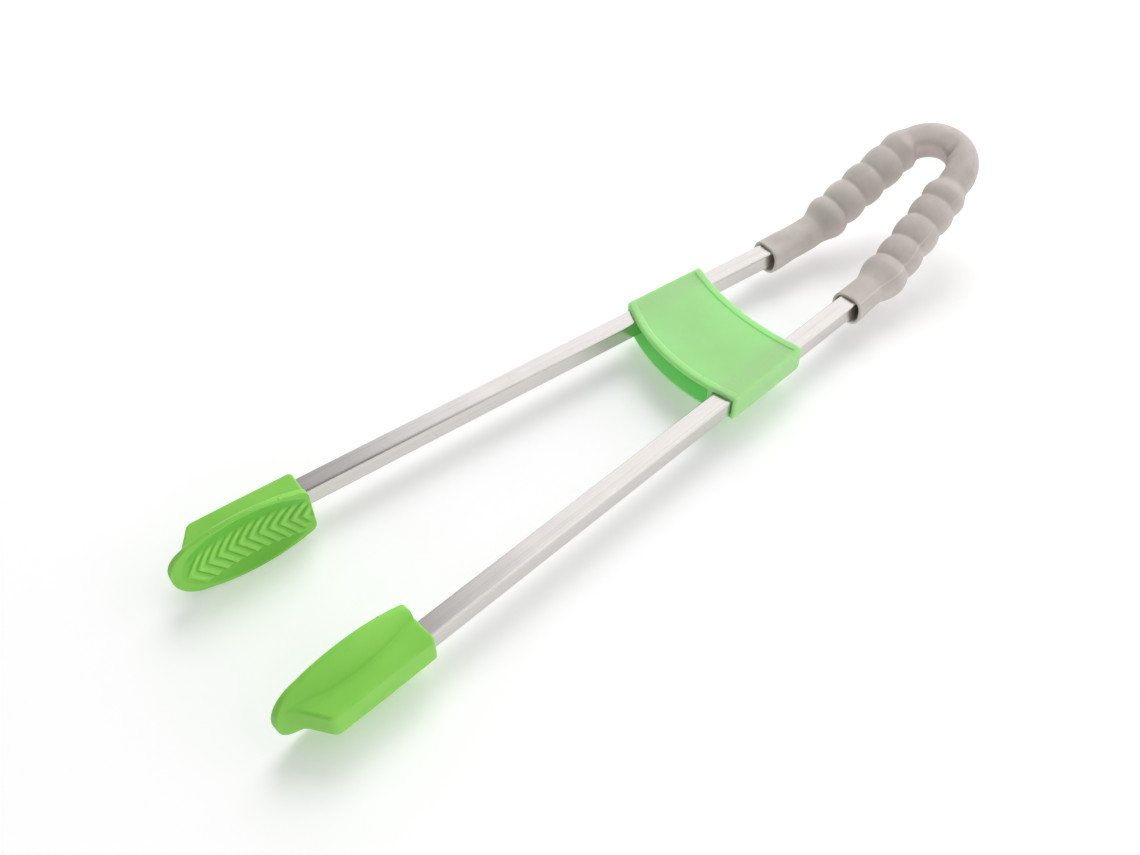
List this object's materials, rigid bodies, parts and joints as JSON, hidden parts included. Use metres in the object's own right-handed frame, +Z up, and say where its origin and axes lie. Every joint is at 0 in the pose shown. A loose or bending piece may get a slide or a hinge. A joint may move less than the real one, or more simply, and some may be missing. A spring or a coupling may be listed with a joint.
{
  "type": "spring loaded kitchen tongs",
  "caption": "Long sprung kitchen tongs: straight square arms in a V, bulged soft grip round a U-bend, a sliding lock plate and spoon-shaped ribbed silicone heads.",
  "frame": {"origin": "bottom centre of the whole tool's box, at the height of the heads' lower edges", "axes": "+Y along the tool from the heads to the handle, +Z up out of the arms' plane towards which the handle rises, +X to the right arm, which carries the slider's channel"},
  "size_m": [0.1096, 0.431, 0.0617],
  "materials": {
    "arms": "satin drawn aluminium with fine lengthwise lines",
    "heads": "matte moulded silicone",
    "sleeve": "matte soft grip",
    "spring": "rolled spring steel",
    "rivets": "plain",
    "slider": "moulded, slight sheen"
  },
  "bodies": {
    "right_arm": {"arm_right": "arms", "head_right": "heads", "grip_sleeve_right": "sleeve", "rivets_right": "rivets", "spring_strip": "spring", "grip_sleeve_bend": "sleeve"},
    "left_arm": {"arm_left": "arms", "head_left": "heads", "grip_sleeve_left": "sleeve", "rivets_left": "rivets"},
    "slider": {"slider": "slider"}
  },
  "joints": [
    {"name": "squeeze", "type": "hinge", "parent": "right_arm", "child": "left_arm", "pos_m": [0, 0.20163, 0.04545], "axis": [0, 0, 1], "range_deg": [0, 10.4], "stiffness_Nm_per_rad": 5, "deforming": ["spring_strip", "grip_sleeve_bend"]},
    {"name": "lock_slide", "type": "slide", "parent": "right_arm", "child": "slider", "axis": [0.0692, -0.9976, 0], "range_m": [-0.039, 0.009]}
  ]
}
